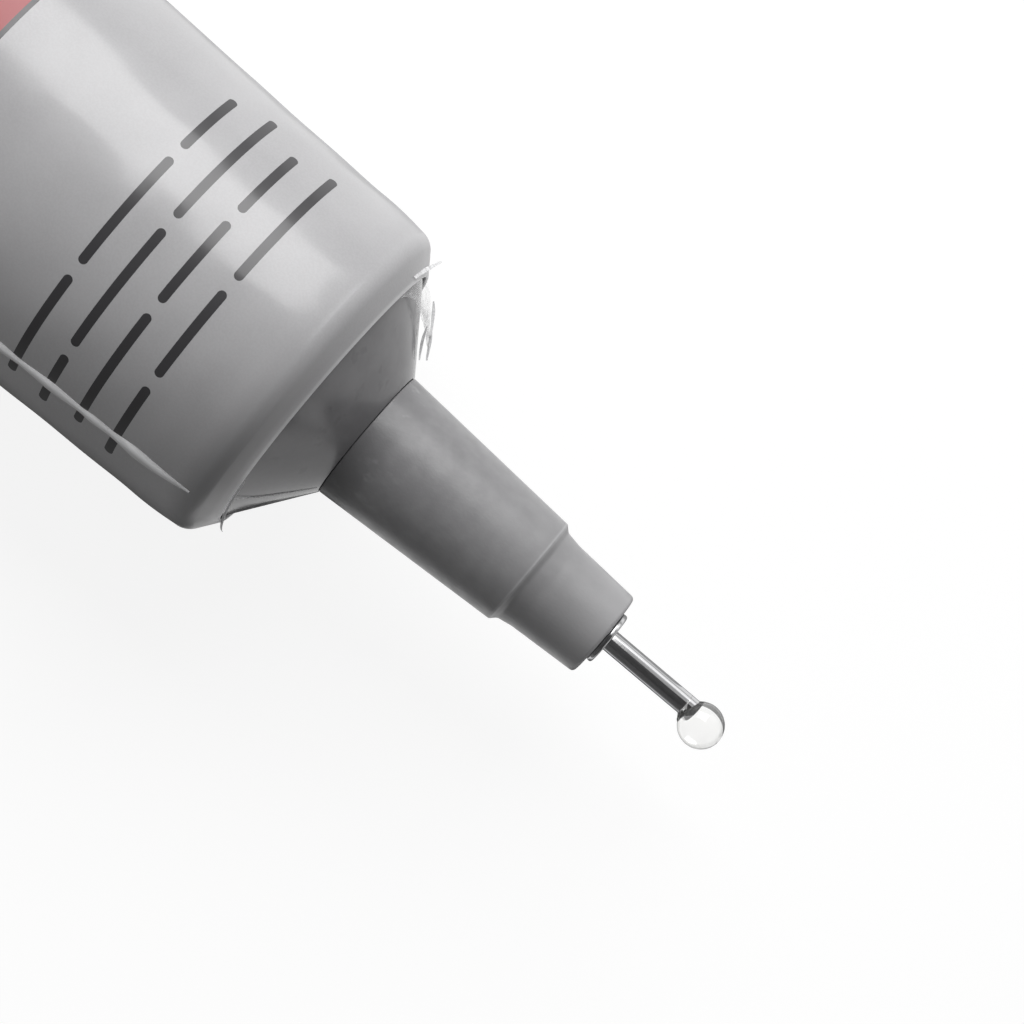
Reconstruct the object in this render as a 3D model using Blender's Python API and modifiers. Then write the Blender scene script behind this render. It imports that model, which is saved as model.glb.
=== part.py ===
"""A soft tube of multipurpose glue with a screw-on needle nozzle, lying on its flat side.

The tube's axis runs along +X with the needle towards +X, and the sealed tail spreads along Y.
Each piece is built about its own local Z, from the corner where the sleeve turns over the shoulder.
The empty tube_axis turns local Z to +X, so that local +X points down, and sets the part on Z = 0.
"""

import math

import bmesh
import bpy

MM = 0.001

# Clearances
FIT_GAP = 0.10 * MM  # between pieces that are pressed, moulded or seated together
THREAD_GAP = 0.25 * MM  # all round the neck's thread, in the nozzle
GLUE_GAP = 0.30 * MM  # from the glue, and the film, to the walls that they lie on

# Laminate sleeve with its sealed tail
TUBE_DIAMETER = 28.0 * MM
SLEEVE_WALL = 0.30 * MM
SLEEVE_LENGTH = 113.0 * MM  # corner to seal
SEAL_LENGTH = 7.0 * MM
EARLY_FLATTENING = 0.30  # how fast the section flattens at the shoulder; 1 is a straight wedge
DRAW_IN = 0.25 * MM  # what the sleeve's radius loses towards the shoulder
DRAW_IN_LENGTH = 4.0 * MM
CORNER_FILLET = 1.6 * MM
LIP_LENGTH = 1.95 * MM  # of the sleeve's edge on the cone, past the corner's round

# Moulded shoulder with its threaded neck
CONE_ANGLE = math.radians(54.4)  # between the cone's side and the axis
SHOULDER_WALL = 1.2 * MM
SKIRT_LENGTH = 3.2 * MM  # behind the corner's round
NECK_DIAMETER = 6.2 * MM  # at the thread's root
NECK_LENGTH = 9.0 * MM
NECK_BORE = 3.6 * MM
THREAD_PITCH = 2.0 * MM
THREAD_HEIGHT = 0.5 * MM
THREAD_ROOT_SHARE = 0.45  # the ridge's width at its root, to a pitch
THREAD_CREST_SHARE = 0.25
THREAD_SINK = 0.3 * MM  # how far the ridge's foot reaches into the neck
THREAD_FOOT = 2.0 * MM  # from the seat to the first turn
THREAD_LEAD = 2.0 * MM  # from the last turn to the neck's mouth
GROOVE_RUN_OUT = 0.5  # turns of the nozzle's groove past the ridge's end

# Barrier dish inside the shoulder, and the pierced foil on the neck's mouth
INSERT_THICKNESS = 0.3 * MM
FOIL_THICKNESS = 0.15 * MM
FOIL_HOLE = 1.8 * MM

# Nozzle
NOZZLE_WALL = 1.45 * MM  # outside the thread, at the base
NOZZLE_TAPER = math.radians(3.4)  # between its sides and the axis
NOZZLE_BASE_ROUND = 0.2 * MM
NOZZLE_CAVITY = 4.0 * MM  # diameter at the foil
NOZZLE_CAVITY_LENGTH = 6.25 * MM
NEEDLE_STOP = 0.6 * MM  # thickness of the ring that the needle stands on
NOZZLE_FRONT_LENGTH = 7.1 * MM  # step to end
NOZZLE_STEP = 0.65 * MM  # what the radius loses there
NOZZLE_STEP_CHAMFER = 0.45 * MM
NOZZLE_STEP_HOLLOW = 1.2 * MM  # length of the hollow fillet past the chamfer
NOZZLE_TIP_ROUND = 0.3 * MM

# Steel needle and its collar
NEEDLE_DIAMETER = 1.65 * MM
NEEDLE_WALL = 0.23 * MM
NEEDLE_REACH = 8.7 * MM  # out of the nozzle
NEEDLE_HELD = 6.0 * MM  # inside the nozzle
HUB_WALL = 0.475 * MM
HUB_LENGTH = 2.6 * MM
COLLAR_RIM = 0.7 * MM  # how far the collar's flange stands out past its hub
COLLAR_THICKNESS = 0.42 * MM

# Drop of glue on the needle's tip
DROP_DIAMETER = 3.45 * MM
DROP_GRIP = 0.92 * MM  # how far it reaches back over the needle
DROP_SAG = 0.45 * MM  # its centre, off the axis towards -Y

# Remains of the clear film round the shoulder
FILM_THICKNESS = 0.12 * MM
FILM_STANDOUT = 0.9 * MM  # what its radius gains on the sleeve's edge
FILM_LENGTH = 5.4 * MM  # along the cone

# Facets
ROUND = 48
SMALL_ROUND = 24
FINE_ROUND = 16
CORNER_STEPS = 5
SLEEVE_STEPS = 9
DRAW_IN_STEPS = 3
THREAD_STEPS = 20  # to a turn
SHARP_ANGLE = math.radians(35)
MERGE = 1e-6

# Sizes that follow from those above: radii and insets from the sleeve's skin
tube_radius = TUBE_DIAMETER / 2
corner_radius = tube_radius - DRAW_IN
corner_tangent = CORNER_FILLET * math.tan(CONE_ANGLE / 2)
round_end = corner_tangent + DRAW_IN_LENGTH  # behind this the section flattens
facet_flat = math.cos(math.pi / ROUND)  # a facet's distance from the axis, for a radius of 1
axis_height = tube_radius * facet_flat
sealed = 1 - SLEEVE_WALL / tube_radius  # the flattening at which the two walls meet
lip_radius = corner_radius - CORNER_FILLET * (1 - math.cos(CONE_ANGLE)) - LIP_LENGTH * math.sin(CONE_ANGLE)
skirt_end = -corner_tangent - SKIRT_LENGTH
head_inset = SLEEVE_WALL + FIT_GAP
inner_inset = head_inset + SHOULDER_WALL
neck_radius = NECK_DIAMETER / 2
neck_bore_radius = NECK_BORE / 2
crest_radius = neck_radius + THREAD_HEIGHT
nozzle_base_radius = crest_radius + THREAD_GAP + NOZZLE_WALL
seat_radius = nozzle_base_radius + FIT_GAP
needle_radius = NEEDLE_DIAMETER / 2
needle_bore_radius = needle_radius - NEEDLE_WALL
needle_hole_radius = needle_radius + FIT_GAP
hub_radius = needle_hole_radius + HUB_WALL
drop_radius = DROP_DIAMETER / 2


def cone_height(radius, inset):
    """Height of the shoulder's cone at a radius, on the surface this far inside the sleeve's skin."""
    return ((corner_radius - radius) * math.cos(CONE_ANGLE) - inset) / math.sin(CONE_ANGLE)


def cone_radius(height, inset):
    """Radius of that surface at a height."""
    return corner_radius - (height * math.sin(CONE_ANGLE) + inset) / math.cos(CONE_ANGLE)


# Heights along the axis, from the corner
tail_end = -(SLEEVE_LENGTH + SEAL_LENGTH)
seat_height = cone_height(seat_radius, head_inset)
under_seat = seat_height - SHOULDER_WALL
neck_top = seat_height + NECK_LENGTH
thread_start = seat_height + THREAD_FOOT
thread_turns = (NECK_LENGTH - THREAD_FOOT - THREAD_LEAD) / THREAD_PITCH
foil_base = neck_top + FIT_GAP
nozzle_base = seat_height + FIT_GAP
nozzle_ledge = foil_base + FOIL_THICKNESS + FIT_GAP
stop_base = nozzle_ledge + NOZZLE_CAVITY_LENGTH
stop_top = stop_base + NEEDLE_STOP
needle_start = stop_top + FIT_GAP
nozzle_end = needle_start + NEEDLE_HELD
hub_seat = nozzle_end - HUB_LENGTH
needle_tip = nozzle_end + NEEDLE_REACH
drop_centre = needle_tip + drop_radius - DROP_GRIP
datum_x = -(tail_end + drop_centre + drop_radius) / 2  # centres the part's box on the origin


def start_scene():
    """Clears the scene and returns the collections for the parts and for the cutters."""
    for old in list(bpy.data.objects):
        bpy.data.objects.remove(old)
    made = []
    for name in ("glue_tube", "cutters"):
        collection = bpy.data.collections.new(name)
        bpy.context.scene.collection.children.link(collection)
        made.append(collection)
    return made


parts, cutters = start_scene()
tube_axis = bpy.data.objects.new("tube_axis", None)
tube_axis.location = (datum_x, 0, axis_height)
tube_axis.rotation_euler = (0, math.pi / 2, 0)
parts.objects.link(tube_axis)


def material(name, colour, roughness, metallic=0.0, transmission=0.0):
    made = bpy.data.materials.new(name)
    made.use_nodes = True
    made.diffuse_color = (*colour, 1)
    shader = made.node_tree.nodes["Principled BSDF"]
    shader.inputs["Base Color"].default_value = (*colour, 1)
    shader.inputs["Roughness"].default_value = roughness
    shader.inputs["Metallic"].default_value = metallic
    shader.inputs["Transmission Weight"].default_value = transmission
    return made


SILVER_LAMINATE = material("silver_laminate", (0.52, 0.52, 0.53), 0.32, 0.35)
GREY_PLASTIC = material("grey_plastic", (0.27, 0.27, 0.28), 0.42)
ALUMINIUM = material("aluminium", (0.80, 0.80, 0.81), 0.30, 1.0)
STEEL = material("steel", (0.66, 0.66, 0.67), 0.12, 1.0)
CLEAR_GLUE = material("clear_glue", (0.97, 0.97, 0.95), 0.03, 0.0, 1.0)
CLEAR_FILM = material("clear_film", (0.93, 0.93, 0.94), 0.15, 0.0, 1.0)


def add(name, mesh, finish=None):
    """A part with this finish, or a hidden cutter where there is none, on the tube's axis."""
    made = bpy.data.objects.new(name, mesh)
    made.parent = tube_axis
    if finish is None:
        made.hide_render = True
        made.display_type = "WIRE"
        cutters.objects.link(made)
    else:
        mesh.materials.append(finish)
        parts.objects.link(made)
    return made


def profile_mesh(name, points, closed):
    """Edges through (radius, height) points in the local XZ plane."""
    edges = [(k, k + 1) for k in range(len(points) - 1)]
    if closed:
        edges.append((len(points) - 1, 0))
    mesh = bpy.data.meshes.new(name)
    mesh.from_pydata([(radius, 0, height) for radius, height in points], edges, [])
    return mesh


def turned(name, points, finish, facets):
    """A turned piece. Its profile runs down the outer side first, and ends on the axis or closes."""
    on_axis = points[0][0] < MERGE and points[-1][0] < MERGE
    made = add(name, profile_mesh(name, points, not on_axis), finish)
    turn = made.modifiers.new("turn", "SCREW")
    turn.steps = turn.render_steps = facets
    turn.use_merge_vertices = True
    turn.merge_threshold = MERGE
    return made


def helix(name, points, start, turns):
    """A closed profile swept along the right-hand thread from a height, with its ends capped."""
    made = add(name, profile_mesh(name, [(r, start + h) for r, h in points], True))
    sweep = made.modifiers.new("sweep", "SCREW")
    sweep.angle = 2 * math.pi * turns
    sweep.screw_offset = THREAD_PITCH * turns
    sweep.steps = sweep.render_steps = round(THREAD_STEPS * turns)
    bpy.context.view_layer.update()
    swept = made.evaluated_get(bpy.context.evaluated_depsgraph_get())
    solid = bpy.data.meshes.new_from_object(swept)
    form = bmesh.new()
    form.from_mesh(solid)
    bmesh.ops.holes_fill(form, edges=form.edges, sides=len(points))
    bmesh.ops.recalc_face_normals(form, faces=form.faces)
    form.to_mesh(solid)
    form.free()
    made.modifiers.clear()
    made.data = solid
    return made


def combine(piece, other, operation):
    """Joins the other solid to a piece, or cuts it out."""
    step = piece.modifiers.new(other.name, "BOOLEAN")
    step.operation = operation
    step.object = other
    step.solver = "EXACT"


def lofted(name, rings, finish):
    """A solid through rings with the same number of points, capped at the first and the last."""
    form = bmesh.new()
    loops = [[form.verts.new(point) for point in ring] for ring in rings]
    for before, after in zip(loops, loops[1:]):
        for k in range(ROUND):
            n = (k + 1) % ROUND
            form.faces.new((before[k], before[n], after[n], after[k]))
    form.faces.new(reversed(loops[0]))
    form.faces.new(loops[-1])
    bmesh.ops.recalc_face_normals(form, faces=form.faces)
    mesh = bpy.data.meshes.new(name)
    form.to_mesh(mesh)
    form.free()
    return add(name, mesh, finish)


def flattening(height):
    """How far the sleeve's section has gone from a circle, at 0, to two walls pressed together."""
    along = (-round_end - height) / (SLEEVE_LENGTH - round_end)
    along = min(max(along, 0), 1)
    return sealed * along * (EARLY_FLATTENING + (1 - EARLY_FLATTENING) * along)


def height_of(radius):
    """Where the sleeve's round ends have this radius, behind the round stretch."""
    share = (1 - radius / tube_radius) / sealed
    bend = 1 - EARLY_FLATTENING
    along = 2 * share / (EARLY_FLATTENING + math.sqrt(EARLY_FLATTENING**2 + 4 * bend * share))
    return -round_end - along * (SLEEVE_LENGTH - round_end)


def round_ring(radius, height):
    """A ring about the axis, with a facet straight below it."""
    angles = [(k + 0.5) * 2 * math.pi / ROUND for k in range(ROUND)]
    return [(radius * math.cos(a), radius * math.sin(a), height) for a in angles]


def sleeve_ring(height, inset):
    """The sleeve's section, this far inside its skin: two flats joined by round ends.

    Its perimeter stays that of the tube, and its lower flat stays on the ground.
    """
    drawn = min(max((height + round_end) / DRAW_IN_LENGTH, 0), 1)
    flat = flattening(height)
    radius = tube_radius * (1 - flat) - DRAW_IN * drawn**2
    half_flat = math.pi * tube_radius * flat / 2
    centre = tube_radius * flat * facet_flat
    ring = round_ring(radius - inset, height)
    return [(centre + x, y + math.copysign(half_flat, y), z) for x, y, z in ring]


def corner_arc(inset):
    """(radius, height) points round the corner, from the straight wall to the cone."""
    reach = CORNER_FILLET - inset
    angles = [CONE_ANGLE * k / CORNER_STEPS for k in range(1, CORNER_STEPS + 1)]
    across = corner_radius - CORNER_FILLET
    return [(across + reach * math.cos(a), reach * math.sin(a) - corner_tangent) for a in angles]


def spaced(first, last, steps):
    return [first + (last - first) * k / steps for k in range(steps + 1)]


def lip(inset):
    """(radius, height) of the sleeve's edge, which is cut square to the cone."""
    return (
        lip_radius - inset * math.cos(CONE_ANGLE),
        cone_height(lip_radius, 0) - inset * math.sin(CONE_ANGLE),
    )


def tube_sleeve():
    """The laminate sleeve: flat sealed tail, flattening walls, and a lip turned over the shoulder."""
    mouth = corner_arc(0) + [lip(0), lip(SLEEVE_WALL)] + corner_arc(SLEEVE_WALL)[::-1]
    drawn = spaced(-round_end, -corner_tangent, DRAW_IN_STEPS)
    skin = [tail_end] + spaced(-SLEEVE_LENGTH, -round_end, SLEEVE_STEPS) + drawn[1:]
    inside = drawn[:0:-1] + spaced(-round_end, height_of(2 * SLEEVE_WALL), SLEEVE_STEPS)
    rings = [sleeve_ring(height, 0) for height in skin]
    rings += [round_ring(*point) for point in mouth]
    rings += [sleeve_ring(height, SLEEVE_WALL) for height in inside]
    return lofted("tube_sleeve", rings, SILVER_LAMINATE)


def thread_section(gap):
    """The thread's trapezium, this much larger all round, from inside the neck to the crest."""
    foot = neck_radius - THREAD_SINK
    root = THREAD_ROOT_SHARE * THREAD_PITCH / 2 + gap
    crest = THREAD_CREST_SHARE * THREAD_PITCH / 2 + gap
    return [(foot, -root), (foot, root), (crest_radius + gap, crest), (crest_radius + gap, -crest)]


def shoulder_head():
    """The moulded shoulder: skirt inside the sleeve, cone, flat seat and threaded neck."""
    skirt = corner_radius - head_inset
    skirt_inside = corner_radius - inner_inset
    outside = [(neck_radius, neck_top), (neck_radius, seat_height), (seat_radius, seat_height)]
    outside += corner_arc(head_inset)[::-1]
    outside += [(skirt, -corner_tangent), (skirt, skirt_end)]
    inside = [
        (skirt_inside, skirt_end),
        (skirt_inside, cone_height(skirt_inside, inner_inset)),
        (cone_radius(under_seat, inner_inset), under_seat),
        (neck_bore_radius, under_seat),
        (neck_bore_radius, neck_top),
    ]
    head = turned("shoulder_head", outside + inside, GREY_PLASTIC, ROUND)
    ridge = helix("thread_ridge", thread_section(0), thread_start, thread_turns)
    combine(head, ridge, "UNION")
    return head


def barrier_insert():
    """A thin dish that keeps the solvent from the shoulder, pressed against its inside."""
    outer = inner_inset + FIT_GAP
    inner = outer + INSERT_THICKNESS
    rim = corner_radius - outer
    top = under_seat - FIT_GAP
    points = [
        (neck_bore_radius, top),
        (cone_radius(top, outer), top),
        (rim, cone_height(rim, outer)),
        (rim, cone_height(rim, inner)),
        (cone_radius(top - INSERT_THICKNESS, inner), top - INSERT_THICKNESS),
        (neck_bore_radius, top - INSERT_THICKNESS),
    ]
    return turned("barrier_insert", points, ALUMINIUM, ROUND)


def foil_seal():
    """The foil on the neck's mouth, with the hole that was pierced to let the glue out."""
    hole = FOIL_HOLE / 2
    top = foil_base + FOIL_THICKNESS
    points = [(hole, top), (neck_radius, top), (neck_radius, foil_base), (hole, foil_base)]
    return turned("foil_seal", points, ALUMINIUM, SMALL_ROUND)


def nozzle_outside():
    """(radius, height) points down the nozzle's outer side."""
    slope = math.tan(NOZZLE_TAPER)
    step_height = nozzle_end - NOZZLE_FRONT_LENGTH
    step = nozzle_base_radius - (step_height - nozzle_base - NOZZLE_BASE_ROUND) * slope
    chamfer_height = step_height + NOZZLE_STEP_CHAMFER
    front_height = chamfer_height + NOZZLE_STEP_HOLLOW
    front = step - NOZZLE_STEP
    round_height = nozzle_end - NOZZLE_TIP_ROUND
    tip = front - (round_height - front_height) * slope
    return [
        (tip - NOZZLE_TIP_ROUND, nozzle_end),
        (tip, round_height),
        (front, front_height),
        (front + NOZZLE_STEP / 3, chamfer_height),
        (step, step_height),
        (nozzle_base_radius, nozzle_base + NOZZLE_BASE_ROUND),
        (nozzle_base_radius - NOZZLE_BASE_ROUND, nozzle_base),
    ]


def nozzle_body():
    """The moulded nozzle: threaded socket, tapering cavity, stop, needle bore and collar seat."""
    socket = neck_radius + THREAD_GAP
    hub_hole = hub_radius + FIT_GAP
    inside = [
        (socket, nozzle_base),
        (socket, nozzle_ledge),
        (NOZZLE_CAVITY / 2, nozzle_ledge),
        (needle_bore_radius, stop_base),
        (needle_bore_radius, stop_top),
        (needle_hole_radius, stop_top),
        (needle_hole_radius, hub_seat),
        (hub_hole, hub_seat),
        (hub_hole, nozzle_end),
    ]
    nozzle = turned("nozzle_body", nozzle_outside() + inside, GREY_PLASTIC, ROUND)
    turns_below = math.ceil(THREAD_FOOT / THREAD_PITCH) + 1
    groove_start = thread_start - turns_below * THREAD_PITCH
    turns = turns_below + thread_turns + GROOVE_RUN_OUT
    groove = helix("thread_groove", thread_section(THREAD_GAP), groove_start, turns)
    combine(nozzle, groove, "DIFFERENCE")
    return nozzle


def needle_tube():
    """The steel needle, cut square at both ends."""
    points = [
        (needle_radius, needle_tip),
        (needle_radius, needle_start),
        (needle_bore_radius, needle_start),
        (needle_bore_radius, needle_tip),
    ]
    return turned("needle_tube", points, STEEL, SMALL_ROUND)


def needle_collar():
    """The steel collar that holds the needle: a flange on the nozzle's end and a hub inside it."""
    flange = hub_radius + COLLAR_RIM
    face = nozzle_end + FIT_GAP
    hub_base = hub_seat + FIT_GAP
    points = [
        (needle_hole_radius, face + COLLAR_THICKNESS),
        (flange, face + COLLAR_THICKNESS),
        (flange, face),
        (hub_radius, face),
        (hub_radius, hub_base),
        (needle_hole_radius, hub_base),
    ]
    return turned("needle_collar", points, STEEL, SMALL_ROUND)


def glue_fill():
    """The glue that fills the sleeve, the shoulder and the neck."""
    inset = SLEEVE_WALL + GLUE_GAP
    behind_skirt = skirt_end - GLUE_GAP
    lining = inner_inset + FIT_GAP + INSERT_THICKNESS + GLUE_GAP
    shoulder = corner_radius - lining
    top = under_seat - FIT_GAP - INSERT_THICKNESS - GLUE_GAP
    column = neck_bore_radius - GLUE_GAP
    rings = [sleeve_ring(h, inset) for h in spaced(height_of(2 * inset), behind_skirt, SLEEVE_STEPS)]
    rings += [
        round_ring(shoulder, behind_skirt),
        round_ring(shoulder, cone_height(shoulder, lining)),
        round_ring(cone_radius(top, lining), top),
        round_ring(column, top),
        round_ring(column, neck_top),
    ]
    return lofted("glue_fill", rings, CLEAR_GLUE)


def nozzle_glue():
    """The glue in the nozzle's cavity, with the thread of it that runs through the needle."""
    cavity = NOZZLE_CAVITY / 2 - GLUE_GAP
    thread = needle_bore_radius / 2
    points = [
        (0, needle_tip),
        (thread, needle_tip),
        (thread, stop_base - GLUE_GAP),
        (cavity, nozzle_ledge),
        (0, nozzle_ledge),
    ]
    return turned("nozzle_glue", points, CLEAR_GLUE, FINE_ROUND)


def glue_drop():
    """The drop that hangs round the needle's tip."""
    form = bmesh.new()
    bmesh.ops.create_uvsphere(form, u_segments=SMALL_ROUND, v_segments=FINE_ROUND, radius=drop_radius)
    mesh = bpy.data.meshes.new("glue_drop")
    form.to_mesh(mesh)
    form.free()
    drop = add("glue_drop", mesh, CLEAR_GLUE)
    drop.location = (0, -DROP_SAG, drop_centre)
    end = needle_tip + FIT_GAP
    back = needle_tip - DROP_DIAMETER
    room = [(0, end), (needle_hole_radius, end), (needle_hole_radius, back), (0, back)]
    combine(drop, turned("needle_room", room, None, SMALL_ROUND), "DIFFERENCE")
    return drop


def shoulder_film():
    """What is left of the clear film: a thin skirt that stands off the cone from the sleeve's edge."""
    under = -GLUE_GAP
    over = under - FILM_THICKNESS
    outer = lip_radius + FILM_STANDOUT
    inner = outer - FILM_LENGTH * math.sin(CONE_ANGLE)
    points = [
        (inner, cone_height(inner, over)),
        (outer, cone_height(outer, over)),
        (outer, cone_height(outer, under)),
        (inner, cone_height(inner, under)),
    ]
    return turned("shoulder_film", points, CLEAR_FILM, ROUND)


PIECES = (
    tube_sleeve,
    shoulder_head,
    barrier_insert,
    foil_seal,
    nozzle_body,
    needle_tube,
    needle_collar,
    glue_fill,
    nozzle_glue,
    glue_drop,
    shoulder_film,
)
for build in PIECES:
    piece = build()
    piece.data.shade_smooth()
    piece.data.set_sharp_from_angle(angle=SHARP_ANGLE)
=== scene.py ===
"""Looks of a soft tube of multipurpose glue with a needle nozzle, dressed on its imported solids.

+X runs from the sealed tail to the needle, and the tube lies on Z = 0. Heights are along the tube's
axis from the corner where the sleeve turns over the shoulder, and angles go round it from straight
up towards +Y.
"""

import math

import bmesh
import bpy
import numpy as np
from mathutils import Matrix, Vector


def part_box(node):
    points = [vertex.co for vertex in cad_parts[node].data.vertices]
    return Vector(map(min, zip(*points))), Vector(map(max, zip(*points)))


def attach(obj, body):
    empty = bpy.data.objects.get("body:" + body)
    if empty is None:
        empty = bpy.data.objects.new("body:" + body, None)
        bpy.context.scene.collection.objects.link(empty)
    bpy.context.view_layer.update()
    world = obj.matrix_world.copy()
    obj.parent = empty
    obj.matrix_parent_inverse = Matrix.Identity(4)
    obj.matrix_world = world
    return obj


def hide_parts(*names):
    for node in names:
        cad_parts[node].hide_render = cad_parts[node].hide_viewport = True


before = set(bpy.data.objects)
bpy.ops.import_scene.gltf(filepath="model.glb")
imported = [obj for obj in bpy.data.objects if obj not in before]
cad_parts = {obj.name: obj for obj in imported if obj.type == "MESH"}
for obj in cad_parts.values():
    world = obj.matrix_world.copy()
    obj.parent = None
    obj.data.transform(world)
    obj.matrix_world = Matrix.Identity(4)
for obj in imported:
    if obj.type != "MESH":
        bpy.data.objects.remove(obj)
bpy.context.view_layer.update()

MM = 0.001

# Sleeve: what its box doesn't give, as in the solids
SLEEVE_LENGTH = 113.0 * MM  # corner to seal
SEAL_LENGTH = 7.0 * MM
SLEEVE_WALL = 0.30 * MM
EARLY_FLATTENING = 0.30  # the share of the flattening that grows evenly along the sleeve
DRAW_IN = 0.25 * MM  # towards the corner
DRAW_IN_LENGTH = 4.0 * MM
CORNER_FILLET = 1.6 * MM
LIP_LENGTH = 1.95 * MM  # of the sleeve's edge on the cone, past the corner's round
CONE_ANGLE = math.radians(54.4)  # between the cone's side and the axis

# Sleeve: the soft skin
SECTION_SQUARENESS = 1.0  # how far a flattened section leans from an ellipse to a rectangle
SEAL_SQUARENESS = 6.0
SEAL_ONSET = 12  # how late on the way to the seal its squareness comes in
CRIMP_RIBS = 6
CRIMP_DEPTH = 0.09 * MM
# Each soft dent's height and angle, its length and width, and its depth, in mm and degrees
DENTS = (
    (-24, 38, 9, 8, 0.16),
    (-41, -12, 12, 9, 0.30),
    (-50, 62, 10, 12, 0.35),
    (-58, -58, 14, 9, 0.45),
    (-72, 20, 15, 12, 0.60),
    (-86, -25, 11, 10, 0.55),
    (-97, 40, 9, 12, 0.40),
    (-48, 150, 13, 12, 0.40),
    (-76, -140, 12, 14, 0.50),
)
DENT_FADE = 6.0 * MM  # half the section's height, under which dents grow shallow
DENT_LIMIT = 0.4  # of half the section's height
RIPPLE_DEPTH = 0.022 * MM  # of the film's faint ripples in front
RIPPLE_LENGTH = 7.4 * MM
RIPPLE_WIDTH = 10.4 * MM
RIPPLE_START = -22.0 * MM
RIPPLE_FADE_IN = 6.0 * MM
RIPPLE_END = -2.5 * MM
RIPPLE_FADE_OUT = 3.0 * MM
# How far the ripples sway from straight rows, and how often against the ripples themselves
RIPPLE_SWAY_ALONG = 0.8
RIPPLE_SWAY_ALONG_RATE = 0.74
RIPPLE_SWAY_ACROSS = 0.6
RIPPLE_SWAY_ACROSS_RATE = 0.5

# Shoulder and neck
FIT_GAP = 0.10 * MM
SHOULDER_WALL = 1.2 * MM
SEAT_ROUND = 0.06 * MM
SKIRT_ROUND = 0.15 * MM
NECK_BORE = 3.6 * MM
NECK_BORE_ROUND = 0.2 * MM
NECK_TOP_ROUND = 0.25 * MM
NECK_FOOT_ROUND = 0.2 * MM
INSERT_WALL = 0.3 * MM  # of the barrier dish
THREAD_PITCH = 2.0 * MM
THREAD_HEIGHT = 0.5 * MM
THREAD_ROOT_SHARE = 0.45
THREAD_CREST_SHARE = 0.25
THREAD_SINK = 0.3 * MM
THREAD_FOOT = 2.0 * MM
THREAD_LEAD = 2.0 * MM
THREAD_GAP = 0.25 * MM
THREAD_FADE = 0.2  # turns in which the ridge rises from the neck
THREAD_LEAST_RISE = 0.05  # the share of its height that the ridge starts and ends with
GROOVE_RUN_OUT = 0.5  # turns

# Nozzle
NOZZLE_TAPER = math.radians(3.4)
NOZZLE_FRONT_LENGTH = 7.1 * MM
NOZZLE_STEP = 0.65 * MM
NOZZLE_STEP_ROUND = 0.16 * MM
NOZZLE_STEP_CHAMFER = 0.45 * MM
NOZZLE_CHAMFER_REST = 0.32  # the share of the step that is left past its chamfer
NOZZLE_CHAMFER_ROUND = 0.5 * MM
NOZZLE_STEP_HOLLOW = 1.2 * MM
NOZZLE_HOLLOW_ROUND = 2.6 * MM
NOZZLE_TIP_ROUND = 0.32 * MM
NOZZLE_BASE_ROUND = 0.12 * MM
NOZZLE_SEAT_GAP = 0.02 * MM
NOZZLE_SOCKET_ROUND = 0.15 * MM
NOZZLE_CAVITY = 4.0 * MM
NOZZLE_CAVITY_LENGTH = 6.25 * MM
NEEDLE_STOP = 0.6 * MM
NEEDLE_WALL = 0.23 * MM
NEEDLE_EDGE_ROUND = 0.04 * MM
HUB_WALL = 0.475 * MM
HUB_LENGTH = 2.6 * MM
HUB_ROUND = 0.1 * MM
COLLAR_THICKNESS = 0.42 * MM
COLLAR_FRONT_ROUND = 0.18 * MM
COLLAR_BACK_ROUND = 0.1 * MM
COLLAR_HOLE_ROUND = 0.08 * MM

# Drop, and the glue inside
DROP_OPENING = 0.15  # radians from the drop's back to where its ball starts
MENISCUS_LENGTH = 0.18 * MM  # how far the glue creeps back along the needle
MENISCUS_FILM = 0.02 * MM
MENISCUS_BLEND = 0.10 * MM
MENISCUS_END = 0.4  # drop radii past the drop's middle where the wetting has run out
GLUE_GAP = 0.30 * MM
GLUE_TAIL = 6.0 * MM  # from the seal to where the glue starts
GLUE_TIP_ROUND = 0.1 * MM
GLUE_STOP_ROUND = 0.5 * MM
GLUE_LEDGE_ROUND = 0.2 * MM

# Film left at the sleeve's edge
FILM_THICKNESS = 0.03 * MM
FILM_TUCK = 0.30 * MM  # what lies hidden under the sleeve's edge
FILM_REST = 0.6  # the share of the tuck that it reaches over where it is torn off
FILM_FLAP = 5.3 * MM  # what its reach gains on the +Y side, where it stands off
FILM_FLAP_TURN = math.radians(22)
FILM_STANDOUT = 0.52 * MM
FILM_RISE = 0.3  # the share of its reach in which it rises to that
FILM_TATTERS = 0.28 * MM
# Each wave of the torn edge: its size, its count round the tube, its sway and the sway's count
TATTER_WAVES = ((1.0, 9, 1.7, 4), (0.6, 31, 2.0, 7))
RUFFLE_DEPTH = 0.1 * MM
RUFFLE_COUNT = 14
RUFFLE_LEAN = 5.0
STRAND_THICKNESS = 0.10 * MM
STRAND_SLIMMEST = 0.3  # the share of its thickness that a strand keeps at its ends
STRAND_FACE_UP = 1.5  # how far the strands' flat sides turn up, against out
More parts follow.
